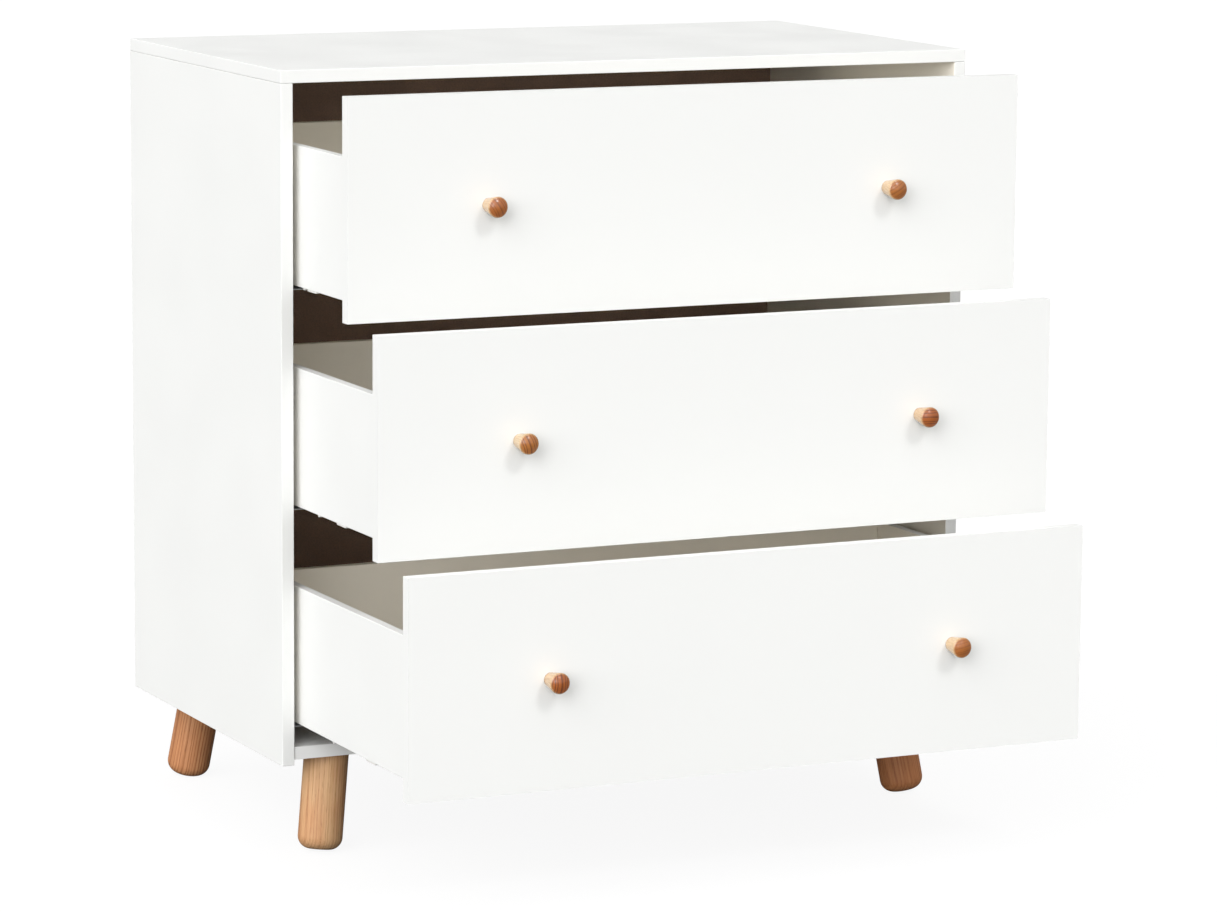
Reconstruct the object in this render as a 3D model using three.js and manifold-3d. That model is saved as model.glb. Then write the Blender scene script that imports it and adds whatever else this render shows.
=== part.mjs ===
// A three-drawer chest on four splayed turned legs.
// Millimetres, +Z up, the drawer fronts face -Y, the floor is z = 0.
// The three inset drawers hang on concealed ball runners and stand open by different amounts.
import * as THREE from 'three';
import { mergeVertices } from 'three/addons/utils/BufferGeometryUtils.js';
import Module from 'manifold-3d';

const wasm = await Module();
wasm.setup();

// ---------------------------------------------------------------- driving dimensions
const CHEST_WIDTH = 960;
const CARCASS_DEPTH = 536;
const BOARD = 16;                 // carcass panels and drawer fronts
const GAP = 0.3;                  // fitting clearance between pieces that touch

const LEG_HEIGHT = 126;           // floor to the underside of the bottom panel
const LEG_RADIUS = 28.5;
const LEG_ROUNDING = 16.5;        // roundover at the foot of the leg
const LEG_SPLAY = THREE.MathUtils.degToRad(8);   // outward lean, sideways and lengthways
const LEG_INSET_X = 76.5;         // chest side to the leg's centre at its top
const LEG_INSET_FRONT = 42;
const LEG_INSET_REAR = 55;
const FOOT_FLAT = 0.8;            // depth trimmed off to seat the foot on the floor

const SIDE_DROP = 7;              // side panels reach below the bottom panel
const BOTTOM_SETBACK = 2;
const BACK_THICKNESS = 3;
const BACK_INNER_Y = 524;
const BACK_GROOVE = 6;

const DRAWER_COUNT = 3;
const FRONT_WIDTH = 923;
const FRONT_HEIGHT = 274;
const FRONT_GAP = 2.5;            // between one drawer front and the next
const FRONT_MARGIN = 3;           // above the top front and below the bottom one

const BOX_WIDTH = 910;            // outside of the drawer box
const BOX_LENGTH = 500;
const BOX_BOARD = 12;
const BOX_SIDE_LOW = 25;          // drawer side's edges above the front's bottom edge
const BOX_SIDE_HIGH = 199.5;
const BOX_BACK_HIGH = 194;
const BOX_BOTTOM_LOW = 41.5;
const BOX_BOTTOM_THICKNESS = 4;
const BOX_GROOVE = 6;

const KNOB_INSET = 186;           // front's end to the knob's centre
const KNOB_LENGTH = 32;
const KNOB_BASE_RADIUS = 9;
const KNOB_END_RADIUS = 13;
const KNOB_ROUNDING = 2.6;
const KNOB_DOME = 2.2;

const RUNNER_SHEET = 1.5;
const RUNNER_LENGTH = 480;
const RUNNER_START = 19;          // behind the carcass front
const RUNNER_LOW = 19;            // runner's underside above the front's bottom edge

const OPENINGS = { top: 169, middle: 263, bottom: 356 };   // how far each drawer stands open

// ---------------------------------------------------------------- derived places
const CARCASS_FRONT_Y = (OPENINGS.bottom + KNOB_LENGTH - CARCASS_DEPTH) / 2;
const SIDE_LOW = LEG_HEIGHT - SIDE_DROP;
const BOTTOM_TOP = LEG_HEIGHT + BOARD;
const FRONT_PITCH = FRONT_HEIGHT + FRONT_GAP;
const FIRST_FRONT = BOTTOM_TOP + FRONT_MARGIN;
const SIDE_HIGH = FIRST_FRONT + DRAWER_COUNT * FRONT_PITCH - FRONT_GAP + FRONT_MARGIN;
const INNER_HALF = CHEST_WIDTH / 2 - BOARD;
const BOX_HALF = BOX_WIDTH / 2;
const KNOB_X = FRONT_WIDTH / 2 - KNOB_INSET;

const M_SCREW = { radius: 2, hole: 2.5, headRadius: 4.5, headHeight: 2.6, length: 29 };
const M_BOLT = { radius: 4, hole: 4.5, inLeg: 46, inPanel: 12 };

// ---------------------------------------------------------------- materials
const whiteLacquer = () => new THREE.MeshStandardMaterial({ color: 0xf3f4ee, roughness: 0.42 });
const liningFoil = () => new THREE.MeshStandardMaterial({ color: 0xe6e1d6, roughness: 0.6 });
const brownFibreboard = () => new THREE.MeshStandardMaterial({ color: 0x8a6a4e, roughness: 0.85 });
const turnedOak = () => new THREE.MeshStandardMaterial({ color: 0xc08a58, roughness: 0.5 });
const zincSteel = () => new THREE.MeshStandardMaterial({ color: 0xb4b6ba, roughness: 0.38, metalness: 0.9 });
const greyPlastic = () => new THREE.MeshStandardMaterial({ color: 0xd9d9d4, roughness: 0.55 });

// ---------------------------------------------------------------- shape helpers
/** A board given by its limits along each axis, in its group's frame. */
function board(name, material, x, y, z) {
  const mesh = new THREE.Mesh(new THREE.BoxGeometry(x[1] - x[0], y[1] - y[0], z[1] - z[0]), material);
  mesh.name = name;
  mesh.position.set((x[0] + x[1]) / 2, (y[0] + y[1]) / 2, (z[0] + z[1]) / 2);
  return mesh;
}

/** A closed outline [x, y] drawn out along +Z from zero. */
function extrudeUp(outline, height) {
  const shape = new THREE.Shape(outline.map(([x, y]) => new THREE.Vector2(x, y)));
  return new THREE.ExtrudeGeometry(shape, { depth: height, bevelEnabled: false });
}

/** A closed outline [x, z] drawn out along +Y from zero. */
function extrudeBack(outline, length) {
  return extrudeUp(outline, length).rotateX(Math.PI / 2).translate(0, length, 0);
}

/** A profile of [radius, height] points turned about Z, starting and ending on the axis. */
function turn(profile, segments) {
  const points = profile.map(([radius, height]) => new THREE.Vector2(radius, height));
  return new THREE.LatheGeometry(points, segments).rotateX(Math.PI / 2);
}

/** Points on an arc about (radius, height), angles in degrees from the outward direction. */
function arc(radius, height, size, from, to, steps) {
  const points = [];
  for (let i = 0; i <= steps; i += 1) {
    const angle = THREE.MathUtils.degToRad(from + (to - from) * i / steps);
    points.push([radius + size * Math.cos(angle), height + size * Math.sin(angle)]);
  }
  return points;
}

function toSolid(geometry) {
  const bare = geometry.clone();
  bare.deleteAttribute('normal');
  bare.deleteAttribute('uv');
  const merged = mergeVertices(bare, 1e-4);
  const index = merged.index.array;
  const kept = [];
  for (let i = 0; i < index.length; i += 3) {
    const [a, b, c] = [index[i], index[i + 1], index[i + 2]];
    if (a !== b && b !== c && c !== a) kept.push(a, b, c);
  }
  const vertProperties = new Float32Array(merged.attributes.position.array);
  const triVerts = new Uint32Array(kept);
  return new wasm.Manifold(new wasm.Mesh({ numProp: 3, vertProperties, triVerts }));
}

function fromSolid(solid) {
  const mesh = solid.getMesh();
  const geometry = new THREE.BufferGeometry();
  geometry.setAttribute('position', new THREE.BufferAttribute(new Float32Array(mesh.vertProperties), 3));
  geometry.setIndex(Array.from(mesh.triVerts));
  geometry.computeVertexNormals();
  return geometry;
}

/** One geometry with others cut out of it. */
function cut(geometry, cutters) {
  let solid = toSolid(geometry);
  for (const cutter of cutters) solid = solid.subtract(toSolid(cutter));
  return fromSolid(solid);
}

function named(name, geometry, material) {
  const mesh = new THREE.Mesh(geometry, material);
  mesh.name = name;
  return mesh;
}

// ---------------------------------------------------------------- legs
/** Unit vector down a leg's axis; sx and sy are its side and its front-or-rear sign. */
function legAxis(sx, sy) {
  const lean = Math.tan(LEG_SPLAY);
  return new THREE.Vector3(sx * lean, sy * lean, -1).normalize();
}

/** Rotation that turns the local -Z axis onto the leg's axis. */
function legTurn(sx, sy) {
  return new THREE.Quaternion().setFromUnitVectors(new THREE.Vector3(0, 0, -1), legAxis(sx, sy));
}

/** Leg length down its axis that leaves FOOT_FLAT to trim at the floor. */
function legLength() {
  const tilt = Math.acos(-legAxis(1, 1).z);
  const corner = (LEG_RADIUS - LEG_ROUNDING) * Math.sin(tilt) + LEG_ROUNDING;
  return LEG_ROUNDING + (LEG_HEIGHT + FOOT_FLAT - corner) / Math.cos(tilt);
}

function bolt(length, radius, segments) {
  const chamfer = radius / 4;
  return turn([[0, 0], [radius - chamfer, 0], [radius, chamfer], [radius, length - chamfer],
    [radius - chamfer, length], [0, length]], segments);
}

/** A turned leg: straight cylinder, rounded foot, trimmed level at the panel and the floor. */
function legGeometry(sx, sy) {
  const length = legLength();
  const spare = 12;
  const foot = arc(LEG_RADIUS - LEG_ROUNDING, -length + LEG_ROUNDING, LEG_ROUNDING, -90, 0, 7);
  const body = turn([[0, -length], ...foot, [LEG_RADIUS, spare], [0, spare]], 36);
  body.applyQuaternion(legTurn(sx, sy));
  const bore = bolt(M_BOLT.inLeg + 2 + spare, M_BOLT.hole, 20).translate(0, 0, -M_BOLT.inLeg - 2);
  bore.applyQuaternion(legTurn(sx, sy));
  const slab = 60;
  const above = new THREE.BoxGeometry(200, 200, slab).translate(0, 0, slab / 2 - GAP);
  const below = new THREE.BoxGeometry(200, 200, slab).translate(0, 0, -LEG_HEIGHT - slab / 2);
  return cut(body, [above, below, bore]);
}

/** Where each leg meets the bottom panel, in the carcass frame. */
function legPlaces() {
  const x = CHEST_WIDTH / 2 - LEG_INSET_X;
  const places = [];
  for (const [end, sy, y] of [['front', -1, LEG_INSET_FRONT], ['rear', 1, CARCASS_DEPTH - LEG_INSET_REAR]]) {
    for (const [side, sx] of [['left', -1], ['right', 1]]) {
      places.push({ name: `${end}_${side}`, sx, sy, at: new THREE.Vector3(sx * x, y, LEG_HEIGHT) });
    }
  }
  return places;
}

function addLegs(group) {
  for (const place of legPlaces()) {
    const leg = named(`${place.name}_leg`, legGeometry(place.sx, place.sy), turnedOak());
    leg.position.copy(place.at);
    const shank = bolt(M_BOLT.inLeg + M_BOLT.inPanel, M_BOLT.radius, 20).translate(0, 0, -M_BOLT.inLeg);
    const hanger = named(`${place.name}_leg_bolt`, shank, zincSteel());
    hanger.position.copy(place.at);
    hanger.quaternion.copy(legTurn(place.sx, place.sy));
    group.add(leg, hanger);
  }
}

// ---------------------------------------------------------------- carcass
/** Side panel: an outline seen from above, with the upright groove for the back panel. */
function sidePanel(name, side) {
  const inner = -BOARD;
  const groove = [BACK_INNER_Y - GAP, BACK_INNER_Y + BACK_THICKNESS + GAP];
  const outline = [[0, 0], [inner, 0], [inner, groove[0]], [inner + BACK_GROOVE, groove[0]],
    [inner + BACK_GROOVE, groove[1]], [inner, groove[1]], [inner, CARCASS_DEPTH], [0, CARCASS_DEPTH]];
  const height = SIDE_HIGH - GAP - SIDE_LOW;
  const geometry = extrudeUp(outline.map(([x, y]) => [side * x, y]), height);
  const panel = named(name, geometry, whiteLacquer());
  panel.position.set(side * CHEST_WIDTH / 2, 0, SIDE_LOW);
  return panel;
}

function bottomPanel() {
  const x = INNER_HALF - GAP;
  const panel = board('bottom_panel', whiteLacquer(), [-x, x],
    [BOTTOM_SETBACK, BACK_INNER_Y - GAP], [LEG_HEIGHT, BOTTOM_TOP]);
  const bores = legPlaces().map((place) => {
    const bore = bolt(M_BOLT.inPanel + 13, M_BOLT.hole, 20).translate(0, 0, -12);
    bore.applyQuaternion(legTurn(place.sx, place.sy));
    const at = place.at.clone().sub(panel.position);
    return bore.translate(at.x, at.y, at.z);
  });
  panel.geometry = cut(panel.geometry, bores);
  return panel;
}

function carcass() {
  const group = new THREE.Group();
  const half = CHEST_WIDTH / 2;
  group.add(sidePanel('left_side_panel', -1), sidePanel('right_side_panel', 1));
  group.add(board('top_panel', whiteLacquer(), [-half, half], [0, CARCASS_DEPTH],
    [SIDE_HIGH, SIDE_HIGH + BOARD]));
  group.add(bottomPanel());
  const reach = INNER_HALF + BACK_GROOVE - GAP;
  group.add(board('back_panel', brownFibreboard(), [-reach, reach],
    [BACK_INNER_Y, BACK_INNER_Y + BACK_THICKNESS], [LEG_HEIGHT, SIDE_HIGH - GAP]));
  addLegs(group);
  return group;
}

// ---------------------------------------------------------------- runners
// Their outlines are [inward, up]: inward from the cabinet side, up from the front's bottom edge.
/** Cabinet member: wall flange, base plate and the raised rail that the drawer member straddles. */
function cabinetRunnerOutline() {
  const low = RUNNER_LOW;
  const sheet = RUNNER_SHEET;
  const wallTop = low + 21;
  const rail = { near: 28, far: 40, top: low + 15.5 };
  const edge = 48;
  return [[GAP, wallTop], [GAP + sheet, wallTop], [GAP + sheet, low + sheet], [rail.near, low + sheet],
    [rail.near, rail.top], [rail.far, rail.top], [rail.far, low + sheet], [edge, low + sheet],
    [edge, low], [rail.far - sheet, low], [rail.far - sheet, rail.top - sheet],
    [rail.near + sheet, rail.top - sheet], [rail.near + sheet, low], [GAP, low]];
}

/** Drawer member: a channel open downwards, under the drawer bottom and over the rail. */
function drawerRunnerOutline() {
  const sheet = RUNNER_SHEET;
  const top = BOX_BOTTOM_LOW - GAP;
  const low = RUNNER_LOW + 5;
  const near = 22;
  const far = 46;
  return [[near, top], [far, top], [far, low], [far - sheet, low], [far - sheet, top - sheet],
    [near + sheet, top - sheet], [near + sheet, low], [near, low]];
}

/** A runner outline set out from the cabinet side on the given hand. */
function runner(name, side, outline, length) {
  const placed = outline.map(([inward, up]) => [side * (INNER_HALF - inward), up]);
  return named(name, extrudeBack(placed, length), zincSteel());
}

/** Catch that clips the drawer's front end to its runner: a block with a squeeze lever. */
function catchGeometry(side) {
  const near = 48;
  const outline = [[near, 2], [near + 30, 2], [near + 30, 26], [near + 14, 34], [near + 11, 62],
    [near + 5, 62], [near + 4, 40], [near, 40]];
  const thickness = 11;
  const placed = outline.map(([inward, back]) => [side * (INNER_HALF - inward), back]);
  return extrudeUp(placed, thickness).translate(0, 0, BOX_BOTTOM_LOW - GAP - thickness);
}

// ---------------------------------------------------------------- drawers
// A drawer's frame: x = 0 at its middle, y = 0 at the front's face, z = 0 at the front's bottom edge.
function drawerFront(name) {
  const half = FRONT_WIDTH / 2;
  const front = board(name, whiteLacquer(), [-half, half], [0, BOARD], [0, FRONT_HEIGHT]);
  const grooveHalf = BOX_HALF - BOX_BOARD + BOX_GROOVE;
  const grooveHeight = BOX_BOTTOM_THICKNESS + 2 * GAP;
  const groove = new THREE.BoxGeometry(2 * grooveHalf, 2 * BOX_GROOVE, grooveHeight)
    .translate(0, BOARD / 2, BOX_BOTTOM_LOW + BOX_BOTTOM_THICKNESS / 2 - FRONT_HEIGHT / 2);
  const holes = [-KNOB_X, KNOB_X].map((x) => bolt(BOARD + 4, M_SCREW.hole, 20)
    .rotateX(Math.PI / 2).translate(x, BOARD / 2 + 2, 0));
  front.geometry = cut(front.geometry, [groove, ...holes]);
  return front;
}

/** Drawer side: an upright outline with the groove for the drawer bottom. */
function drawerSide(name, side) {
  const low = BOX_BOTTOM_LOW - GAP;
  const high = BOX_BOTTOM_LOW + BOX_BOTTOM_THICKNESS + GAP;
  const inner = BOX_HALF - BOX_BOARD;
  const outline = [[BOX_HALF, BOX_SIDE_LOW], [BOX_HALF, BOX_SIDE_HIGH], [inner, BOX_SIDE_HIGH],
    [inner, high], [inner + BOX_GROOVE, high], [inner + BOX_GROOVE, low], [inner, low],
    [inner, BOX_SIDE_LOW]];
  const geometry = extrudeBack(outline.map(([x, z]) => [side * x, z]), BOX_LENGTH - GAP);
  const panel = named(name, geometry, whiteLacquer());
  panel.position.y = BOARD + GAP;
  return panel;
}

/** A turned knob, flared towards its slightly domed end, bored for its screw. */
function knobGeometry() {
  const end = KNOB_LENGTH - KNOB_DOME;
  const corner = arc(KNOB_END_RADIUS - KNOB_ROUNDING, end - KNOB_ROUNDING, KNOB_ROUNDING, 0, 75, 5);
  const dome = [0.6, 0.3, 0].map((share) => [KNOB_END_RADIUS * share, KNOB_LENGTH - 1.4 * KNOB_DOME * share ** 2]);
  const body = turn([[0, GAP], [KNOB_BASE_RADIUS, GAP], ...corner, ...dome], 36);
  const bore = bolt(M_SCREW.length, M_SCREW.hole, 20).translate(0, 0, -14);
  return cut(body, [bore]).rotateX(Math.PI / 2);
}

/** Pan-head machine screw along -Y, its head's seat at the origin. */
function screwGeometry() {
  const { radius, headRadius, headHeight, length } = M_SCREW;
  const head = arc(headRadius - 1, -headHeight + 1, 1, -80, 0, 3);
  return turn([[0, -headHeight], ...head, [headRadius, 0], [radius, 0], [radius, length - 1],
    [radius - 1, length], [0, length]], 20).rotateX(Math.PI / 2);
}

function drawer(name, open, low) {
  const group = new THREE.Group();
  const inner = BOX_HALF - BOX_BOARD;
  const reach = inner + BOX_GROOVE - GAP;
  const rear = BOARD + BOX_LENGTH;
  const bottomTop = BOX_BOTTOM_LOW + BOX_BOTTOM_THICKNESS;
  group.add(drawerFront(`${name}_drawer_front`));
  group.add(board(`${name}_drawer_back`, liningFoil(), [-inner + GAP, inner - GAP],
    [rear - BOX_BOARD, rear], [bottomTop + GAP, BOX_BACK_HIGH]));
  group.add(board(`${name}_drawer_bottom`, liningFoil(), [-reach, reach],
    [BOARD - BOX_GROOVE + GAP, rear], [BOX_BOTTOM_LOW, bottomTop]));
  for (const [hand, side] of [['left', -1], ['right', 1]]) {
    group.add(drawerSide(`${name}_drawer_${hand}_side`, side));
    const channel = runner(`${name}_${hand}_drawer_runner`, side, drawerRunnerOutline(), RUNNER_LENGTH);
    channel.position.y = BOARD + GAP + 2;
    group.add(channel);
    group.add(named(`${name}_${hand}_runner_catch`, catchGeometry(side), greyPlastic()));
    group.children.at(-1).position.y = BOARD;
    const knob = named(`${name}_${hand}_knob`, knobGeometry(), turnedOak());
    knob.position.set(side * KNOB_X, 0, FRONT_HEIGHT / 2);
    const screw = named(`${name}_${hand}_knob_screw`, screwGeometry(), zincSteel());
    screw.position.set(side * KNOB_X, BOARD + GAP, FRONT_HEIGHT / 2);
    group.add(knob, screw);
  }
  group.position.set(0, -open, low);
  return group;
}

/** The cabinet members of one drawer's pair of runners. */
function addCabinetRunners(group, name, low) {
  for (const [hand, side] of [['left', -1], ['right', 1]]) {
    const member = runner(`${name}_${hand}_cabinet_runner`, side, cabinetRunnerOutline(), RUNNER_LENGTH);
    member.position.set(0, RUNNER_START, low);
    group.add(member);
  }
}

// ---------------------------------------------------------------- assembly
const chest = new THREE.Group();
const body = carcass();
['bottom', 'middle', 'top'].forEach((name, level) => {
  const low = FIRST_FRONT + level * FRONT_PITCH;
  addCabinetRunners(body, name, low);
  body.add(drawer(name, OPENINGS[name], low));
});
body.position.y = CARCASS_FRONT_Y;
chest.add(body);

export default chest;
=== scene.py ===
"""A white three-drawer chest on turned legs: finishes, fine turned and stamped surfaces, and a studio."""
import math

import bpy
import numpy as np
from mathutils import Matrix, Vector


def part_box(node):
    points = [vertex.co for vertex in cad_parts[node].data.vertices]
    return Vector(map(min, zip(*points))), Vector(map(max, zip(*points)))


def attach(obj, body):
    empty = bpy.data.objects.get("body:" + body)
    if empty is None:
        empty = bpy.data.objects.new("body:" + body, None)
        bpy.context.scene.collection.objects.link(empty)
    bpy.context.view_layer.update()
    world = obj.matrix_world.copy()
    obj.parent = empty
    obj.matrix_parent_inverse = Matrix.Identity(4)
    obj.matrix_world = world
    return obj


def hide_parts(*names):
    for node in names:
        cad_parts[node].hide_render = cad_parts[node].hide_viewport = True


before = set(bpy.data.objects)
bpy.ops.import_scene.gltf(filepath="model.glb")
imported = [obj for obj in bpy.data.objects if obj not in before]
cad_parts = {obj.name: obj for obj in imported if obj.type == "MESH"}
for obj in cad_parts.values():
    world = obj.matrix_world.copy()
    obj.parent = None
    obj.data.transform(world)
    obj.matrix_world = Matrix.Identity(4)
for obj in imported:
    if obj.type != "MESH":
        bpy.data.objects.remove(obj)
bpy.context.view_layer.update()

MM = 0.001
LEVELS = ("top", "middle", "bottom")
HANDS = (("left", -1), ("right", 1))

# ------------------------------------------------------------------ driving sizes, in metres
LEG_RADIUS = 28.5 * MM
LEG_ROUNDING = 16.5 * MM
LEG_SPLAY = math.radians(8)
LEG_INSET = {"side": 76.5 * MM, "front": 42 * MM, "rear": 55 * MM}
FIT_GAP = 0.3 * MM

KNOB_BASE_SHARE = 9 / 13          # base radius over end radius
KNOB_ROUNDING = 2.6 * MM
KNOB_DOME = 3.2 * MM

FRONT_ROUND = 2.8 * MM            # rounded arris of the drawer fronts
EDGE_ROUND = 0.7 * MM             # softened arris of the other white boards
SHEET_ROUND = 0.35 * MM           # rolled edge of the runner steel
MOULD_ROUND = 0.8 * MM            # rounded edge of the moulded plastic
FOOT_SEAT = 0.8 * MM              # trimmed off each foot so that it stands flat

RUNNER_SCREWS_ALONG = (37 * MM, 228 * MM, 420 * MM)
RUNNER_SCREW_DROP = 8 * MM        # below the top of the runner's wall flange
RUNNER_SCREW_OFF_WALL = 1.55 * MM
LONG_GUIDE = {"start": 104 * MM, "length": 28 * MM, "width": 5 * MM}
SHORT_GUIDE = {"start": 57 * MM, "length": 4 * MM, "width": 4 * MM}
GUIDE_INSET = 1.2 * MM
GUIDE_DEPTH = (2.8 * MM, 0.2 * MM)   # lower and upper edge under the drawer side
BACK_PINS = 8
BACK_PIN_MARGIN = 40 * MM
BACK_PIN_LIFT = 8 * MM

PITH = (0.12, 0.045, 0)           # the log's centre as seen from the middle of a turned piece

# How each turned piece was cut: turn is the angle of its growth rings, lean their slope along the
# grain, warmth the share of red heartwood and figure the strength of the ring lines.
LEG_TIMBER = {
    "front_left": {"turn": 0.12, "lean": 0.02, "warmth": 0.22, "figure": 0.36},
    "front_right": {"turn": 0.5, "lean": 0.03, "warmth": 1.0, "figure": 0.5},
    "rear_left": {"turn": -0.08, "lean": 0.0, "warmth": 0.8, "figure": 1.0},
    "rear_right": {"turn": 2.4, "lean": 0.05, "warmth": 0.5, "figure": 0.7},
}
KNOB_TIMBER = {
    "top_left": {"turn": -0.16, "lean": 0.05, "warmth": 0.6, "figure": 0.6},
    "top_right": {"turn": -1.73, "lean": 0.08, "warmth": 0.35, "figure": 0.55},
    "middle_left": {"turn": 0.0, "lean": 0.1, "warmth": 0.2, "figure": 0.9},
    "middle_right": {"turn": -1.21, "lean": 0.05, "warmth": 0.85, "figure": 0.8},
    "bottom_left": {"turn": 0.36, "lean": 0.06, "warmth": 0.8, "figure": 1.0},
    "bottom_right": {"turn": -1.38, "lean": 0.04, "warmth": 0.45, "figure": 0.4},
}


# Studio lights: azimuth from straight in front towards the right, elevation, strength, spread.
LIGHTS = {
    "left_light": (-64, 25, 2.15, 60),
    "fill_light": (-35, 20, 1.0, 40),
    "high_key": (14, 43, 0.76, 14),
    "overhead": (20, 78, 0.2, 40),
}
SURROUND_BRIGHT, SURROUND_DIM = 0.95, 0.38
FLOOR_TONE = 0.1                  # what the floor throws back on to the chest
FLOOR_GLOW = 0.9                  # what the camera alone sees on top of that
VIEW_GAMMA = 1.12

CAMERA_PLACE = (-2.7453, -5.7688, 1.5076)
CAMERA_HEADING, CAMERA_TILT, CAMERA_ROLL = -25.486, 90 - 9.79, 0.464
CAMERA_LENS = 147.86
CAMERA_SHIFT = 0.042


# ------------------------------------------------------------------ shader building
class Graph:
    """A small hand for laying out shader nodes in one tree."""

    def __init__(self, tree):
        self.tree = tree

    def add(self, kind, **settings):
        node = self.tree.nodes.new(kind)
        for key, value in settings.items():
            setattr(node, key, value)
        return node

    def link(self, source, target):
        self.tree.links.new(source, target)

    def put(self, value, socket):
        """Feeds a socket from another socket or sets its value."""
        if isinstance(value, bpy.types.NodeSocket):
            self.link(value, socket)
        else:
            socket.default_value = value

    def maths(self, operation, a, b=0.0, clamp=False):
        node = self.add("ShaderNodeMath", operation=operation, use_clamp=clamp)
        self.put(a, node.inputs[0])
        self.put(b, node.inputs[1])
        return node.outputs[0]

    def vector(self, operation, a, b=(0, 0, 0)):
        node = self.add("ShaderNodeVectorMath", operation=operation)
        self.put(a, node.inputs[0])
        self.put(b, node.inputs[1])
        return node.outputs["Value"] if operation in ("LENGTH", "DOT_PRODUCT") else node.outputs[0]

    def noise(self, place, scale, detail=2.0, roughness=0.5):
        node = self.add("ShaderNodeTexNoise")
        self.put(place, node.inputs["Vector"])
        self.put(scale, node.inputs["Scale"])
        node.inputs["Detail"].default_value = detail
        node.inputs["Roughness"].default_value = roughness
        return node

    def band(self, value, low, high, out_low=0.0, out_high=1.0):
        """Maps value from low..high to out_low..out_high with soft ends, clamped."""
        node = self.add("ShaderNodeMapRange", interpolation_type="SMOOTHSTEP", clamp=True)
        for socket, number in zip(node.inputs, (value, low, high, out_low, out_high)):
            self.put(number, socket)
        return node.outputs[0]

    def mix(self, share, a, b, blend="MIX"):
        node = self.add("ShaderNodeMix", data_type="RGBA", blend_type=blend)
        self.put(share, node.inputs[0])
        self.put(a, node.inputs[6])
        self.put(b, node.inputs[7])
        return node.outputs[2]

    def bump(self, height, distance, strength=1.0):
        node = self.add("ShaderNodeBump")
        node.inputs["Strength"].default_value = strength
        node.inputs["Distance"].default_value = distance
        self.link(height, node.inputs["Height"])
        return node.outputs["Normal"]


def shared_group(name, inputs, outputs):
    """An empty node group with named sockets: returns the tree, its input node and its output node."""
    tree = bpy.data.node_groups.new(name, "ShaderNodeTree")
    for label, kind, default in inputs:
        socket = tree.interface.new_socket(label, in_out="INPUT", socket_type=kind)
        if default is not None:
            socket.default_value = default
    for label, kind in outputs:
        tree.interface.new_socket(label, in_out="OUTPUT", socket_type=kind)
    return tree, tree.nodes.new("NodeGroupInput"), tree.nodes.new("NodeGroupOutput")


def use_group(graph, tree, **values):
    """Places a shared group in a material; underscores in keywords stand for spaces."""
    node = graph.add("ShaderNodeGroup", node_tree=tree)
    for key, value in values.items():
        graph.put(value, node.inputs[key.replace("_", " ")])
    return node


def sprayed_coat_group():
    """Orange peel of a sprayed or pressed finish, its gloss patches and its slight cloudiness."""
    tree, given, out = shared_group(
        "sprayed_coat",
        [("Place", "NodeSocketVector", None), ("Peel Scale", "NodeSocketFloat", 650.0),
         ("Gloss Low", "NodeSocketFloat", 0.3), ("Gloss High", "NodeSocketFloat", 0.45)],
        [("Height", "NodeSocketFloat"), ("Roughness", "NodeSocketFloat"), ("Cloud", "NodeSocketFloat")])
    g = Graph(tree)
    peel = g.noise(given.outputs["Place"], given.outputs["Peel Scale"], 1.0)
    patches = g.noise(given.outputs["Place"], 9.0, 3.0, 0.6)
    cloud = g.noise(given.outputs["Place"], 2.3, 2.0)
    g.link(peel.outputs["Fac"], out.inputs["Height"])
    rough = g.band(patches.outputs["Fac"], 0.3, 0.7, given.outputs["Gloss Low"], given.outputs["Gloss High"])
    g.link(rough, out.inputs["Roughness"])
    g.link(g.band(cloud.outputs["Fac"], 0.3, 0.7), out.inputs["Cloud"])
    return tree


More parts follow.
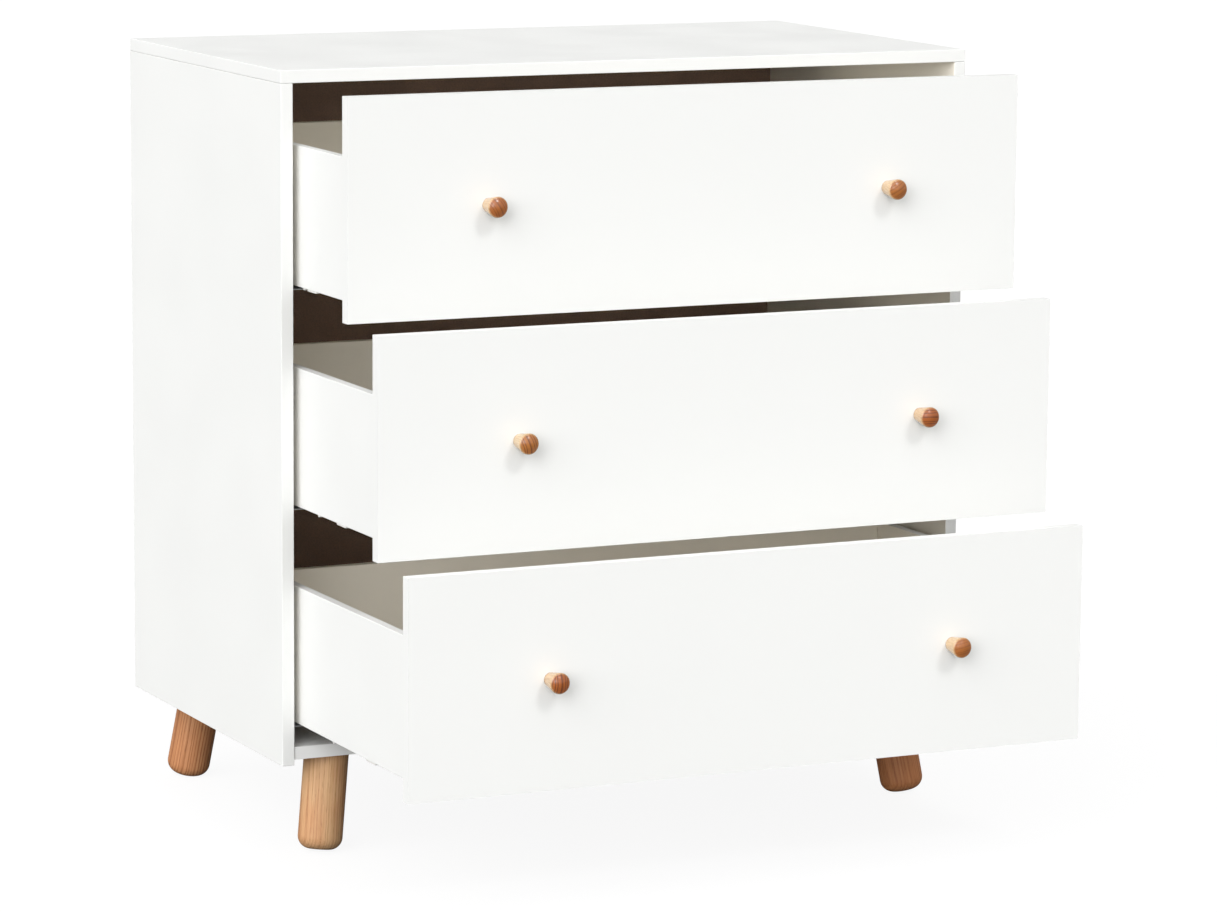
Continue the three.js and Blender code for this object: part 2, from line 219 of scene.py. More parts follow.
def timber_group():
    """Growth rings about a far-off pith, dark porous early wood, and fibres running along the grain.

    Place is the wood's own place in metres with the grain along z. The ring number is the distance
    from the pith line over the ring spacing, bent by slow noise and with rings of uneven width;
    early wood is the start of each ring.
    """
    tree, given, out = shared_group(
        "timber",
        [("Place", "NodeSocketVector", None), ("Pith", "NodeSocketVector", (0.06, 0.02, 0.0)),
         ("Ring Spacing", "NodeSocketFloat", 4 * MM), ("Waviness", "NodeSocketFloat", 2.5 * MM)],
        [("Early Wood", "NodeSocketFloat"), ("Pores", "NodeSocketFloat"), ("Fibre", "NodeSocketFloat"),
         ("Cloud", "NodeSocketFloat")])
    g = Graph(tree)
    place = given.outputs["Place"]
    slow = g.noise(g.vector("MULTIPLY", place, (24, 24, 7)), 1.0, 2.0)
    bend = g.vector("MULTIPLY", g.vector("SUBTRACT", slow.outputs["Color"], (0.5, 0.5, 0.5)), (1, 1, 0))
    scaled = g.add("ShaderNodeVectorMath", operation="SCALE")
    g.link(bend, scaled.inputs[0])
    g.link(given.outputs["Waviness"], scaled.inputs["Scale"])
    bent = g.vector("ADD", g.vector("ADD", place, given.outputs["Pith"]), scaled.outputs[0])
    distance = g.vector("LENGTH", g.vector("MULTIPLY", bent, (1, 1, 0)))
    ring = g.maths("DIVIDE", distance, given.outputs["Ring Spacing"])
    uneven = g.add("ShaderNodeTexNoise", noise_dimensions="1D")
    g.link(ring, uneven.inputs["W"])
    uneven.inputs["Scale"].default_value = 0.43
    part = g.maths("FRACT", g.maths("ADD", ring, g.maths("MULTIPLY", uneven.outputs["Fac"], 1.2)))
    rise = g.band(part, 0.0, 0.1)
    fall = g.band(part, 0.16, 0.5, 1.0, 0.0)
    early = g.maths("MULTIPLY", rise, fall)
    g.link(early, out.inputs["Early Wood"])
    streaks = g.noise(g.vector("MULTIPLY", bent, (1500, 1500, 95)), 1.0, 1.0)
    pores = g.band(streaks.outputs["Fac"], 0.5, 0.66)
    share = g.band(early, 0.0, 0.8, 0.2, 1.0)
    g.link(g.maths("MULTIPLY", pores, share), out.inputs["Pores"])
    fibre = g.noise(g.vector("MULTIPLY", bent, (520, 520, 17)), 1.0, 4.0, 0.62)
    g.link(fibre.outputs["Fac"], out.inputs["Fibre"])
    cloud = g.noise(g.vector("MULTIPLY", place, (34, 34, 11)), 1.0, 2.0)
    g.link(g.band(cloud.outputs["Fac"], 0.3, 0.7), out.inputs["Cloud"])
    return tree


GROUPS = {"coat": sprayed_coat_group(), "timber": timber_group()}


def new_material(name):
    """A material with a Principled shader: returns the material, its graph and the shader."""
    material = bpy.data.materials.new(name)
    material.use_nodes = True
    shader = material.node_tree.nodes["Principled BSDF"]
    return material, Graph(material.node_tree), shader


def object_place(graph):
    return graph.add("ShaderNodeTexCoord").outputs["Object"]


# ------------------------------------------------------------------ finishes
def facing(graph, axis):
    """How far a face points along one of the object's own axes, from -1 to 1."""
    turned = graph.add("ShaderNodeVectorTransform", vector_type="NORMAL", convert_from="WORLD",
                       convert_to="OBJECT")
    graph.link(graph.add("ShaderNodeNewGeometry").outputs["Normal"], turned.inputs[0])
    split = graph.add("ShaderNodeSeparateXYZ")
    graph.link(turned.outputs[0], split.inputs[0])
    return split.outputs[axis]


def white_board(name, face, painted_warm_shade_lining):
    """Satin white lacquer; faces that look sideways towards the middle carry the warmer inside colour, a
    painted warm shade.
    """
    material, g, shader = new_material(name)
    place = object_place(g)
    coat = use_group(g, GROUPS["coat"], Place=place, Peel_Scale=620.0, Gloss_Low=0.33, Gloss_High=0.43)
    split = g.add("ShaderNodeSeparateXYZ")
    g.link(place, split.inputs[0])
    side = g.maths("SIGN", split.outputs["X"])
    # Inward-looking faces take a warm tint that is painted warm shade, not a different finish.
    inward_painted_warm_shade = g.band(g.maths("MULTIPLY", side, g.maths("MULTIPLY", facing(g, "X"), -1.0)), 0.6, 0.8)
    outside = g.mix(coat.outputs["Cloud"], tuple(0.993 * c for c in face) + (1,), face + (1,))
    g.link(g.mix(inward_painted_warm_shade, outside, painted_warm_shade_lining + (1,)), shader.inputs["Base Color"])
    shader.inputs["Specular IOR Level"].default_value = 0.35
    g.link(coat.outputs["Roughness"], shader.inputs["Roughness"])
    g.link(g.bump(coat.outputs["Height"], 0.00002), shader.inputs["Normal"])
    return material


def lining_board_painted_warm_shade(name, colour, low):
    """Matt printed foil: an even light colour, tinted warm as painted shade, with a slight cloud and a fine
    tooth.
    """
    material, g, shader = new_material(name)
    place = object_place(g)
    coat = use_group(g, GROUPS["coat"], Place=place, Peel_Scale=1400.0, Gloss_Low=0.5, Gloss_High=0.62)
    g.link(g.mix(coat.outputs["Cloud"], low + (1,), colour + (1,)), shader.inputs["Base Color"])
    g.link(coat.outputs["Roughness"], shader.inputs["Roughness"])
    g.link(g.bump(coat.outputs["Height"], 0.00002), shader.inputs["Normal"])
    return material


def pressed_fibres(g, place):
    """Brown fibreboard's colour and the height of its felted fibres."""
    felt = g.noise(place, 420.0, 5.0, 0.72)
    blotch = g.noise(place, 14.0, 3.0, 0.55)
    base = g.mix(g.band(blotch.outputs["Fac"], 0.3, 0.7), FIBRE_BROWN + (1,),
                 tuple(1.14 * c for c in FIBRE_BROWN) + (1,))
    fibres = g.band(felt.outputs["Fac"], 0.36, 0.66)
    dark = g.mix(0.4, base, tuple(0.48 * c for c in FIBRE_BROWN) + (1,))
    return g.mix(fibres, dark, base), felt.outputs["Fac"]


def foiled_fibreboard(name, foil):
    """Thin fibreboard: light foil on both of its faces, tinted warm as painted shade, raw brown on its edges.
    """
    material, g, shader = new_material(name)
    place = object_place(g)
    coat = use_group(g, GROUPS["coat"], Place=place, Peel_Scale=1400.0, Gloss_Low=0.5, Gloss_High=0.62)
    brown, felt = pressed_fibres(g, place)
    foiled = g.band(g.maths("ABSOLUTE", facing(g, "Z")), 0.4, 0.6)
    # The foil colour passed in is the white tinted warm: painted warm shade.
    light = g.mix(coat.outputs["Cloud"], tuple(0.97 * c for c in foil) + (1,), foil + (1,))
    g.link(g.mix(foiled, brown, light), shader.inputs["Base Color"])
    g.link(g.maths("ADD", g.maths("MULTIPLY", foiled, -0.25), 0.82), shader.inputs["Roughness"])
    g.link(g.bump(g.mix(foiled, felt, coat.outputs["Height"]), 0.00005), shader.inputs["Normal"])
    return material


def raw_fibreboard(name):
    """Pressed brown fibreboard: short darker and lighter fibres over an uneven brown."""
    material, g, shader = new_material(name)
    brown, felt = pressed_fibres(g, object_place(g))
    g.link(brown, shader.inputs["Base Color"])
    shader.inputs["Roughness"].default_value = 0.82
    g.link(g.bump(felt, 0.0001, 0.6), shader.inputs["Normal"])
    return material


def oiled_timber(name, pale, red, line, pore, end, mellow, spacing, gloss, coat, drawn):
    """Oiled ring-porous hardwood.

    The pieces carry the place in the grain, the end-grain share, the warmth, which goes from the
    pale colour to the red one, and the figure, which is the strength of the ring lines. Drawn is
    how strongly the rings and pores show on faces along the grain, and the end-grain colours are
    mellow for pale wood and end for warm wood.
    """
    material, g, shader = new_material(name)
    carried = {key: g.add("ShaderNodeAttribute", attribute_name=key)
               for key in ("grain_place", "end_grain", "warmth", "figure")}
    wood = use_group(g, GROUPS["timber"], Place=carried["grain_place"].outputs["Vector"],
                     Pith=PITH, Ring_Spacing=spacing, Waviness=3.5 * MM)
    figure = carried["figure"].outputs["Fac"]
    early = g.maths("MULTIPLY", wood.outputs["Early Wood"], figure)
    body = g.mix(carried["warmth"].outputs["Fac"], pale + (1,), red + (1,))
    body = g.mix(g.maths("MULTIPLY", wood.outputs["Cloud"], 0.5), body, red + (1,))
    tone = g.mix(g.maths("MULTIPLY", early, 0.8 * drawn), body, line + (1,))
    fibre = g.band(wood.outputs["Fibre"], 0.3, 0.7)
    tone = g.mix(g.maths("MULTIPLY", fibre, 0.62), tone, (0.7, 0.6, 0.52, 1), "MULTIPLY")
    pits = g.maths("MULTIPLY", wood.outputs["Pores"], g.band(figure, 0.0, 1.0, 0.3 * drawn, 0.55 * drawn))
    tone = g.mix(pits, tone, pore + (1,))
    end_body = g.mix(carried["warmth"].outputs["Fac"], mellow + (1,), end + (1,))
    end_body = g.mix(g.maths("MULTIPLY", fibre, 0.35), end_body, (0.75, 0.62, 0.5, 1), "MULTIPLY")
    end_tone = g.mix(g.maths("MULTIPLY", early, 0.95), end_body, tuple(0.3 * c for c in end) + (1,))
    g.link(g.mix(carried["end_grain"].outputs["Fac"], tone, end_tone), shader.inputs["Base Color"])
    g.link(g.band(wood.outputs["Fibre"], 0.3, 0.7, gloss - 0.05, gloss + 0.08), shader.inputs["Roughness"])
    shader.inputs["Coat Weight"].default_value = coat
    shader.inputs["Coat Roughness"].default_value = 0.21
    shader.inputs["Coat IOR"].default_value = 1.65
    shader.inputs["Specular IOR Level"].default_value = 0.2
    sunk = g.maths("SUBTRACT", 1.0, g.maths("ADD", g.maths("MULTIPLY", wood.outputs["Pores"], 0.8),
                                            g.maths("MULTIPLY", early, 0.2)))
    g.link(g.bump(sunk, 0.00012, 0.5), shader.inputs["Normal"])
    return material


def zinc_plate(name, roughness):
    """Bright zinc plate: a cool metal with faint spangle and fine rolling streaks."""
    material, g, shader = new_material(name)
    place = object_place(g)
    spangle = g.add("ShaderNodeTexVoronoi")
    g.link(place, spangle.inputs["Vector"])
    spangle.inputs["Scale"].default_value = 260.0
    split = g.add("ShaderNodeSeparateColor")
    g.link(spangle.outputs["Color"], split.inputs[0])
    g.link(g.mix(split.outputs[0], (0.56, 0.57, 0.6, 1), (0.68, 0.69, 0.71, 1)), shader.inputs["Base Color"])
    streaks = g.noise(g.vector("MULTIPLY", place, (900, 14, 900)), 1.0, 2.0)
    g.link(g.band(streaks.outputs["Fac"], 0.3, 0.7, roughness - 0.06, roughness + 0.08),
           shader.inputs["Roughness"])
    g.link(g.bump(streaks.outputs["Fac"], 0.00003, 0.5), shader.inputs["Normal"])
    shader.inputs["Metallic"].default_value = 1.0
    return material


def moulded_plastic(name, colour):
    """Light moulded plastic with a fine spark-eroded grain."""
    material, g, shader = new_material(name)
    coat = use_group(g, GROUPS["coat"], Place=object_place(g), Peel_Scale=2200.0, Gloss_Low=0.42,
                     Gloss_High=0.55)
    shade = tuple(0.94 * c for c in colour) + (1,)
    g.link(g.mix(coat.outputs["Cloud"], shade, colour + (1,)), shader.inputs["Base Color"])
    g.link(coat.outputs["Roughness"], shader.inputs["Roughness"])
    g.link(g.bump(coat.outputs["Height"], 0.00003), shader.inputs["Normal"])
    return material


WHITE = (0.805, 0.81, 0.793)
# Inside colour: the white tinted warm, a painted warm shade for the insides of the drawers and carcass.
LINING_PAINTED_WARM_SHADE = (0.89, 0.84, 0.74)
FIBRE_BROWN = (0.37, 0.235, 0.17)
FINISH = {
    "lacquer": white_board("satin_white_lacquer", WHITE, LINING_PAINTED_WARM_SHADE),
    "painted_warm_shade_lining": lining_board_painted_warm_shade("drawer_foil_painted_warm_shade", LINING_PAINTED_WARM_SHADE, (0.86, 0.81, 0.705)),
    "foiled": foiled_fibreboard("foiled_fibreboard", LINING_PAINTED_WARM_SHADE),
    "fibreboard": raw_fibreboard("raw_fibreboard"),
    "leg": oiled_timber("oiled_leg_timber", pale=(0.64, 0.42, 0.215), red=(0.49, 0.19, 0.075),
                        line=(0.30, 0.10, 0.035), pore=(0.13, 0.045, 0.018),
                        end=(0.42, 0.2, 0.09), mellow=(0.5, 0.3, 0.15),
                        spacing=4.2 * MM, gloss=0.5, coat=0.0, drawn=1.0),
    "knob": oiled_timber("oiled_knob_timber", pale=(0.66, 0.49, 0.25), red=(0.58, 0.36, 0.165),
                         line=(0.40, 0.17, 0.06), pore=(0.24, 0.09, 0.03),
                         end=(0.30, 0.062, 0.006), mellow=(0.38, 0.13, 0.022),
                         spacing=4.0 * MM, gloss=0.42, coat=0.85, drawn=0.35),
    "runner": zinc_plate("zinc_runner_steel", 0.34),
    "fixing": zinc_plate("zinc_fixing_steel", 0.26),
    "plastic": moulded_plastic("light_grey_plastic", (0.76, 0.75, 0.72)),
}


# ------------------------------------------------------------------ surfaces worked out with numpy
def make_piece(name, points, faces, material, attributes=None):
    """A smooth mesh object at the origin from its points and faces, with optional point attributes."""
    mesh = bpy.data.meshes.new(name)
    mesh.from_pydata(points.tolist(), [], faces)
    mesh.polygons.foreach_set("use_smooth", np.full(len(mesh.polygons), True))
    for key, values in (attributes or {}).items():
        kind = "FLOAT_VECTOR" if values.ndim == 2 else "FLOAT"
        layer = mesh.attributes.new(key, kind, "POINT")
        layer.data.foreach_set("vector" if values.ndim == 2 else "value", values.astype(np.float32).ravel())
    mesh.materials.append(material)
    mesh.update()
    piece = bpy.data.objects.new(name, mesh)
    bpy.context.scene.collection.objects.link(piece)
    return piece


def ring_faces(rows, columns):
    """Quads between closed rings of points, row by row, and fans to a first and a last pole point.

    Point 0 is the first pole, the last point is the other, and row r starts at 1 + r * columns.
    """
    column = np.arange(columns)
    following = (column + 1) % columns
    faces = [(0, int(b) + 1, int(a) + 1) for a, b in zip(column, following)]
    starts = 1 + np.arange(rows - 1)[:, None] * columns
    quads = np.stack([starts + column, starts + following, starts + columns + following,
                      starts + columns + column], axis=-1).reshape(-1, 4)
    faces += quads.tolist()
    last = 1 + (rows - 1) * columns
    pole = 1 + rows * columns
    faces += [(last + int(a), last + int(b), pole) for a, b in zip(column, following)]
    return faces


def quarter(start, end, count):
    return np.radians(np.linspace(start, end, count))


def leg_frame(sx, sy):
    """Unit vectors of a leg: across, along and down its axis, leaning outwards both ways."""
    lean = math.tan(LEG_SPLAY)
    down = np.array([sx * lean, sy * lean, -1.0])
    down /= np.linalg.norm(down)
    across = np.cross([0.0, 1.0, 0.0], down)
    across /= np.linalg.norm(across)
    return across, np.cross(down, across), down


def cut_from_log(local, pole_share, turn, lean, warmth, figure):
    """Attributes of a turned piece: its points turned and sheared in the log, and what the cut shows."""
    spin = np.array([[math.cos(turn), -math.sin(turn)], [math.sin(turn), math.cos(turn)]])
    grain = local.copy()
    grain[:, :2] = grain[:, :2] @ spin.T
    grain[:, 0] += lean * grain[:, 2]
    grain[:, 2] += turn
    count = len(local)
    return {"grain_place": grain, "end_grain": pole_share, "warmth": np.full(count, warmth),
            "figure": np.full(count, figure)}


def turned_leg(name, sx, sy, top, height, cut):
    """Cylinder with a rounded foot, cut level at the panel above and at the floor.

    A point is top + radius * (cos(a) across + sin(a) along) + depth * down. Its depth on the
    level cut above is what brings its height back to the panel; below the rounding starts, depth
    follows the profile alone. Points under the floor are lifted to it, which makes the seat.
    """
    columns = 96

    def level_depth(radius):
        return -(radius[:, None] * out[:, 2][None, :]) / down[2]

    across, along, down = leg_frame(sx, sy)
    angle = np.linspace(0, 2 * np.pi, columns, endpoint=False)
    out = np.cos(angle)[:, None] * across + np.sin(angle)[:, None] * along
    tilt = math.acos(-down[2])
    corner = (LEG_RADIUS - LEG_ROUNDING) * math.sin(tilt) + LEG_ROUNDING
    straight_end = (height + FOOT_SEAT - corner) / math.cos(tilt)
    cap = np.array([0.35, 0.7, 0.93, 0.985]) * LEG_RADIUS
    bend = quarter(0, 90, 13)
    side_share = np.linspace(0, 1, 30)[1:]
    rim = np.full(1, LEG_RADIUS)
    round_radius = LEG_RADIUS - LEG_ROUNDING * (1 - np.cos(bend[1:]))
    round_depth = straight_end + LEG_ROUNDING * np.sin(bend[1:])
    end_radius = np.array([0.66, 0.33]) * (LEG_RADIUS - LEG_ROUNDING)
    rim_depth = level_depth(rim)
    side_depth = rim_depth + (straight_end - rim_depth) * side_share[:, None]
    radius = np.concatenate([cap, rim, np.full(side_share.size, LEG_RADIUS), round_radius, end_radius])
    depth = np.concatenate([level_depth(cap), rim_depth, side_depth,
                            np.repeat(round_depth[:, None], columns, 1),
                            np.full((2, columns), straight_end + LEG_ROUNDING)])
    points = top + radius[:, None, None] * out[None] + depth[..., None] * down
    poles = np.stack([top, top + (straight_end + LEG_ROUNDING) * down])
    points = np.concatenate([poles[:1], points.reshape(-1, 3), poles[1:]])
    points[:, 2] = np.maximum(points[:, 2], 0.0)
    rest = points - top
    local = np.stack([rest @ across, rest @ along, rest @ down], axis=1)
    bent = np.concatenate([np.ones(cap.size), np.zeros(1 + side_share.size), np.sin(bend[1:]) ** 3,
                           np.ones(2)])
    ends = np.concatenate([[1.0], np.repeat(bent, columns), [1.0]])
    return make_piece(name, points, ring_faces(radius.size, columns), FINISH["leg"],
                      attributes=cut_from_log(local, ends, **cut))


def turned_knob(name, centre, end_radius, base_y, length, cut):
    """Flared knob along -Y: straight flank, small roundover, shallow domed end.

    Radius runs from the base radius to the end radius in a straight line, then round a quarter
    circle, then over the dome, whose height falls with the square of the radius.
    """
    columns = 72
    angle = np.linspace(0, 2 * np.pi, columns, endpoint=False)
    base_radius = end_radius * KNOB_BASE_SHARE
    shoulder = length - KNOB_DOME - KNOB_ROUNDING
    share = np.linspace(0, 1, 16)
    flank_radius = base_radius + (end_radius - base_radius) * share
    flank = share * shoulder
    bend = quarter(0, 82, 9)[1:]
    round_radius = end_radius - KNOB_ROUNDING + KNOB_ROUNDING * np.cos(bend)
    round_height = shoulder + KNOB_ROUNDING * np.sin(bend)
    dome_radius = round_radius[-1] * np.array([0.8, 0.6, 0.4, 0.2])
    fall = (length - round_height[-1]) * (dome_radius / round_radius[-1]) ** 2
    heel_radius = base_radius * np.array([0.4, 0.8, 0.97])
    radius = np.concatenate([heel_radius, flank_radius, round_radius, dome_radius])
    height = np.concatenate([np.zeros(3), flank, round_height, length - fall])
    x = radius[:, None] * np.cos(angle)
    z = radius[:, None] * np.sin(angle)
    y = np.repeat(height[:, None], columns, 1)
    local = np.stack([x, z, y], axis=-1).reshape(-1, 3)
    local = np.concatenate([[[0, 0, 0]], local, [[0, 0, length]]])
    points = np.stack([centre[0] + local[:, 0], base_y - local[:, 2], centre[1] + local[:, 1]], axis=1)
    bent = np.concatenate([np.ones(3), np.zeros(flank.size), np.sin(bend) ** 2, np.ones(4)])
    ends = np.concatenate([[1.0], np.repeat(bent, columns), [1.0]])
    return make_piece(name, points, ring_faces(radius.size, columns), FINISH["knob"],
                      attributes=cut_from_log(local, ends, **cut))


def rounded_bar(name, low, high, rounding, material):
    """A small moulded bar along y whose section is a rounded rectangle and whose ends are rounded.

    The section at angle a is a superellipse of power 5 across x and z; towards each end its half
    sizes shrink by the rounding along a quarter circle.
    """
    columns = 24
    angle = np.linspace(0, 2 * np.pi, columns, endpoint=False)
    middle, half = (low + high) / 2, (high - low) / 2
    section_x = np.sign(np.cos(angle)) * np.abs(np.cos(angle)) ** 0.4
    section_z = np.sign(np.sin(angle)) * np.abs(np.sin(angle)) ** 0.4
    bend = quarter(0, 80, 5)
    shrink = rounding * (1 - np.cos(bend))
    reach = half[1] - rounding + rounding * np.sin(bend)
    shrink = np.concatenate([shrink[::-1], shrink])
    station = np.concatenate([-reach[::-1], reach])
    x = middle[0] + (half[0] - shrink)[:, None] * section_x
    z = middle[2] + (half[2] - shrink)[:, None] * section_z
    y = np.repeat(middle[1] + station[:, None], columns, 1)
    rings = np.stack([x, y, z], axis=-1).reshape(-1, 3)
    poles = np.array([[middle[0], low[1], middle[2]], [middle[0], high[1], middle[2]]])
    points = np.concatenate([poles[:1], rings, poles[1:]])
    return make_piece(name, points, ring_faces(2 * bend.size, columns), material)


def driven_head(name, seat, outwards, across, radius, height, stem, material):
    """A pan-head screw or nail seen from its head: stem, flat seat, rounded rim and cross recess.

    The profile turns about the outwards direction. On the head's top the height drops by the recess
    wherever the point lies within one of two crossed bars, with sides that slope over a short way.
    """
    columns = 48
    angle = np.linspace(0, 2 * np.pi, columns, endpoint=False)
    bend = quarter(0, 90, 6)
    rim = 0.32 * radius
    share = np.array([0.6, 0.5, 0.42, 0.34, 0.26, 0.18, 0.1])
    radial = np.concatenate([[0.4 * stem[0], stem[0], stem[0], radius], radius - rim * (1 - np.cos(bend)),
                             radius * share])
    lift = np.concatenate([[-stem[1], -stem[1], 0.0, 0.0], height - rim * 0.8 * (1 - np.sin(bend)),
                           np.full(share.size, height)])
    u = radial[:, None] * np.cos(angle)
    v = radial[:, None] * np.sin(angle)
    arm, reach, slope = 0.13 * radius, 0.52 * radius, 0.07 * radius
    along_u = np.clip((arm - np.abs(v)) / slope, 0, 1) * np.clip((reach - np.abs(u)) / slope, 0, 1)
    along_v = np.clip((arm - np.abs(u)) / slope, 0, 1) * np.clip((reach - np.abs(v)) / slope, 0, 1)
    sunk = 0.45 * height * np.maximum(along_u, along_v) * (lift[:, None] > 0.7 * height)
    w = lift[:, None] - sunk
    up = np.cross(outwards, across)
    rings = u[..., None] * across + v[..., None] * up + w[..., None] * outwards
    poles = np.array([-stem[1] * outwards, 0.55 * height * outwards])
    points = seat + np.concatenate([poles[:1], rings.reshape(-1, 3), poles[1:]])
    return make_piece(name, points, ring_faces(radial.size, columns), material)


# ------------------------------------------------------------------ carried-over boards and sheet steel
def soften(node, width, segments=3):
    """Joins a node's loose triangles, clears flat seams and rounds its edges."""
    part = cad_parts[node]
    weld = part.modifiers.new("weld", "WELD")
    weld.merge_threshold = 0.00001
    flat = part.modifiers.new("flat", "DECIMATE")
    flat.decimate_type = "DISSOLVE"
    flat.angle_limit = math.radians(0.5)
    arris = part.modifiers.new("arris", "BEVEL")
    arris.width = width
    arris.segments = segments
    arris.limit_method = "ANGLE"
    arris.angle_limit = math.radians(40)
    arris.use_clamp_overlap = True
    return part


def dress(node, finish):
    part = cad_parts[node]
    part.data.materials.clear()
    part.data.materials.append(FINISH[finish])
    return part


def dress_boards():
    for node in ("left_side_panel", "right_side_panel", "top_panel", "bottom_panel"):
        dress(node, "lacquer")
        soften(node, EDGE_ROUND)
    dress("back_panel", "fibreboard")
    for level in LEVELS:
        for part, rounding in (("front", FRONT_ROUND), ("left_side", EDGE_ROUND), ("right_side", EDGE_ROUND)):
            dress(f"{level}_drawer_{part}", "lacquer")
            soften(f"{level}_drawer_{part}", rounding)
        dress(f"{level}_drawer_back", "painted_warm_shade_lining")
        soften(f"{level}_drawer_back", EDGE_ROUND)
        dress(f"{level}_drawer_bottom", "foiled")


def dress_hardware():
    for level in LEVELS:
        for hand, _ in HANDS:
            dress(f"{level}_{hand}_cabinet_runner", "runner")
            soften(f"{level}_{hand}_cabinet_runner", SHEET_ROUND, 2)
            dress(f"{level}_{hand}_drawer_runner", "runner")
            soften(f"{level}_{hand}_drawer_runner", SHEET_ROUND, 2)
            dress(f"{level}_{hand}_runner_catch", "plastic")
            soften(f"{level}_{hand}_runner_catch", MOULD_ROUND)
    for end in ("front", "rear"):
        for hand, _ in HANDS:
            dress(f"{end}_{hand}_leg_bolt", "fixing")


# ------------------------------------------------------------------ turned pieces
def add_legs():
    """Each leg stands under the bottom panel, set in from the sides, the front and the rear."""
    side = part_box("left_side_panel")
    panel_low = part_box("bottom_panel")[0].z
    top_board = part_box("top_panel")
    for end, sy in (("front", -1), ("rear", 1)):
        y = side[0].y + LEG_INSET["front"] if end == "front" else side[1].y - LEG_INSET["rear"]
        for hand, sx in HANDS:
            x = sx * (top_board[1].x - LEG_INSET["side"])
            top = np.array([x, y, panel_low - FIT_GAP])
            piece = turned_leg(f"{end}_{hand}_turned_leg", sx, sy, top, top[2],
                               LEG_TIMBER[f"{end}_{hand}"])
            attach(piece, "carcass")
            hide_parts(f"{end}_{hand}_leg")


def add_knobs():
    for level in LEVELS:
        for hand, _ in HANDS:
            low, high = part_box(f"{level}_{hand}_knob")
            centre = ((low.x + high.x) / 2, (low.z + high.z) / 2)
            piece = turned_knob(f"{level}_{hand}_turned_knob", centre, (high.x - low.x) / 2, high.y,
                                high.y - low.y, KNOB_TIMBER[f"{level}_{hand}"])
            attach(piece, f"{level}_drawer")
            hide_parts(f"{level}_{hand}_knob")


# ------------------------------------------------------------------ small fittings
def add_knob_screws():
    """Each knob's screw, with its head against the rear of the drawer front."""
    for level in LEVELS:
        for hand, _ in HANDS:
            low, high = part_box(f"{level}_{hand}_knob_screw")
            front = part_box(f"{level}_drawer_front")[1].y
            seat = np.array([(low.x + high.x) / 2, front + FIT_GAP, (low.z + high.z) / 2])
            piece = driven_head(f"{level}_{hand}_pan_head_screw", seat, np.array([0.0, 1.0, 0.0]),
                                np.array([1.0, 0.0, 0.0]), (high.x - low.x) / 2, high.y - seat[1],
                                (2 * MM, seat[1] - low.y), FINISH["fixing"])
            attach(piece, f"{level}_drawer")
            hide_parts(f"{level}_{hand}_knob_screw")


def add_runner_screws():
    """Three screw heads on each cabinet runner's wall flange."""
    for level in LEVELS:
        for hand, sx in HANDS:
            low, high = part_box(f"{level}_{hand}_cabinet_runner")
            wall = high.x if sx > 0 else low.x
            for number, y in enumerate(RUNNER_SCREWS_ALONG, 1):
                seat = np.array([wall - sx * RUNNER_SCREW_OFF_WALL, low.y + y,
                                 high.z - RUNNER_SCREW_DROP])
                piece = driven_head(f"{level}_{hand}_runner_screw_{number}", seat, np.array([-sx, 0.0, 0.0]),
                                    np.array([0.0, 1.0, 0.0]), 3.6 * MM, 1.3 * MM, (1.6 * MM, 1.2 * MM),
                                    FINISH["fixing"])
                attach(piece, "carcass")


def add_runner_clips():
    """A long and a short moulded guide under each drawer side, hooked on to the runner."""
    for level in LEVELS:
        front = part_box(f"{level}_drawer_front")
        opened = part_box("left_side_panel")[0].y - front[0].y
        for hand, sx in HANDS:
            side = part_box(f"{level}_drawer_{hand}_side")
            face = side[1].x if sx > 0 else side[0].x
            for kind, guide, along in (("long", LONG_GUIDE, 0), ("short", SHORT_GUIDE, opened / 2)):
                start = front[1].y + along + guide["start"]
                edge = np.sort([face - sx * GUIDE_INSET, face - sx * (GUIDE_INSET + guide["width"])])
                low = np.array([edge[0], start, side[0].z - GUIDE_DEPTH[0]])
                high = np.array([edge[1], start + guide["length"], side[0].z - GUIDE_DEPTH[1]])
                piece = rounded_bar(f"{level}_{hand}_{kind}_guide", low, high, MOULD_ROUND,
                                    FINISH["plastic"])
                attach(piece, f"{level}_drawer")


def add_back_pins():
    """A row of flat pin heads that hold the back panel to the bottom panel."""
    low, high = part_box("back_panel")
    span = high.x - low.x - 2 * BACK_PIN_MARGIN
    for number in range(BACK_PINS):
        x = low.x + BACK_PIN_MARGIN + span * number / (BACK_PINS - 1)
        seat = np.array([x, high.y + 0.05 * MM, low.z + BACK_PIN_LIFT])
        piece = driven_head(f"back_pin_{number + 1}", seat, np.array([0.0, 1.0, 0.0]),
                            np.array([1.0, 0.0, 0.0]), 3 * MM, 0.9 * MM, (1 * MM, 1.5 * MM), FINISH["fixing"])
        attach(piece, "carcass")


# ------------------------------------------------------------------ studio
def add_floor():
    """Pale floor. The camera sees it near white; for other rays it is greyer, so it throws back less."""
    mesh = bpy.data.meshes.new("studio_floor")
    reach = 60.0
    corners = [(-reach, -reach, 0), (reach, -reach, 0), (reach, reach, 0), (-reach, reach, 0)]
    mesh.from_pydata(corners, [], [(0, 1, 2, 3)])
    floor = bpy.data.objects.new("studio_floor", mesh)
    bpy.context.scene.collection.objects.link(floor)
    material, g, shader = new_material("pale_floor")
    shader.inputs["Base Color"].default_value = (FLOOR_TONE, FLOOR_TONE, FLOOR_TONE, 1)
    shader.inputs["Roughness"].default_value = 0.7
    shader.inputs["Specular IOR Level"].default_value = 0.1
    shader.inputs["Emission Color"].default_value = (1, 1, 1, 1)
    seen = g.add("ShaderNodeLightPath").outputs["Is Camera Ray"]
    g.link(g.maths("MULTIPLY", seen, FLOOR_GLOW), shader.inputs["Emission Strength"])
    mesh.materials.append(material)


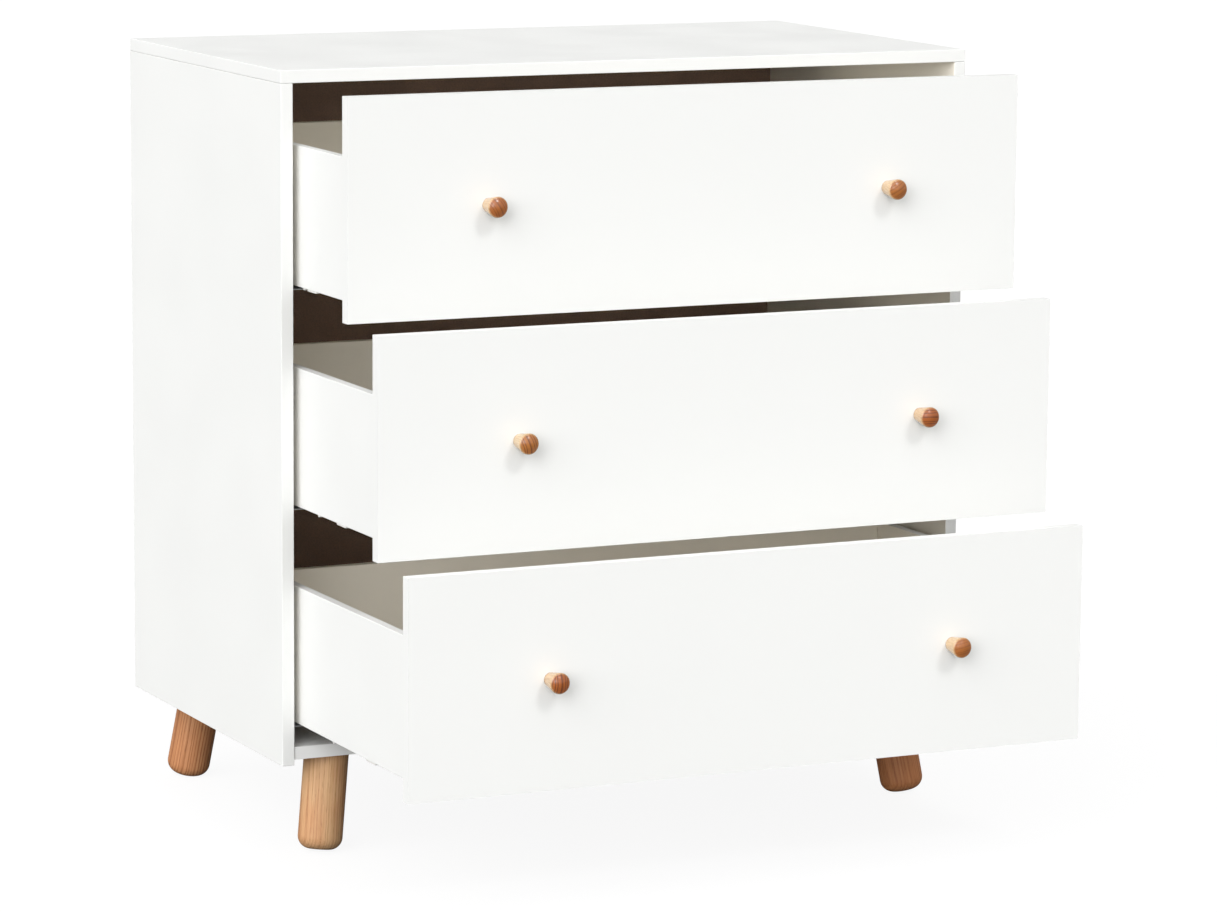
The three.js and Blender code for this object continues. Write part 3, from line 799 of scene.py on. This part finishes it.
def add_soft_sun(name, azimuth, elevation, strength, softness):
    """Far, broad light: azimuth from straight in front towards the right, elevation above the floor."""
    data = bpy.data.lights.new(name, "SUN")
    data.energy = strength
    data.angle = math.radians(softness)
    lamp = bpy.data.objects.new(name, data)
    turn, lift = math.radians(azimuth), math.radians(elevation)
    source = Vector((math.sin(turn) * math.cos(lift), -math.cos(turn) * math.cos(lift), math.sin(lift)))
    lamp.rotation_euler = source.to_track_quat("Z", "Y").to_euler()
    bpy.context.scene.collection.objects.link(lamp)


def add_light():
    """A surround that is brighter on the left than on the right and overhead, and four soft lights."""
    world = bpy.data.worlds.new("studio")
    world.use_nodes = True
    g = Graph(world.node_tree)
    background = world.node_tree.nodes["Background"]
    background.inputs["Color"].default_value = (1.0, 1.0, 1.0, 1)
    direction = g.add("ShaderNodeTexCoord").outputs["Generated"]
    away = g.vector("DOT_PRODUCT", direction, (0.9, 0.4, 0.2))
    around = g.band(away, -0.7, 0.9, SURROUND_BRIGHT, SURROUND_DIM)
    seen = g.add("ShaderNodeLightPath").outputs["Is Camera Ray"]
    g.link(g.maths("MAXIMUM", around, seen), background.inputs["Strength"])
    bpy.context.scene.world = world
    for name, setting in LIGHTS.items():
        add_soft_sun(name, *setting)
    bpy.context.scene.view_settings.view_transform = "Standard"
    bpy.context.scene.view_settings.gamma = VIEW_GAMMA


def add_camera():
    """Seen from the front left at eye height with a long lens."""
    data = bpy.data.cameras.new("view")
    data.sensor_width = 36
    data.lens = CAMERA_LENS
    data.shift_y = CAMERA_SHIFT
    data.clip_end = 200
    camera = bpy.data.objects.new("view", data)
    heading = Matrix.Rotation(math.radians(CAMERA_HEADING), 4, "Z")
    tilt = Matrix.Rotation(math.radians(CAMERA_TILT), 4, "X")
    roll = Matrix.Rotation(math.radians(CAMERA_ROLL), 4, "Z")
    camera.matrix_world = Matrix.Translation(CAMERA_PLACE) @ heading @ tilt @ roll
    bpy.context.scene.collection.objects.link(camera)
    bpy.context.scene.camera = camera


dress_boards()
dress_hardware()
add_legs()
add_knobs()
add_knob_screws()
add_runner_screws()
add_runner_clips()
add_back_pins()
add_floor()
add_light()
add_camera()
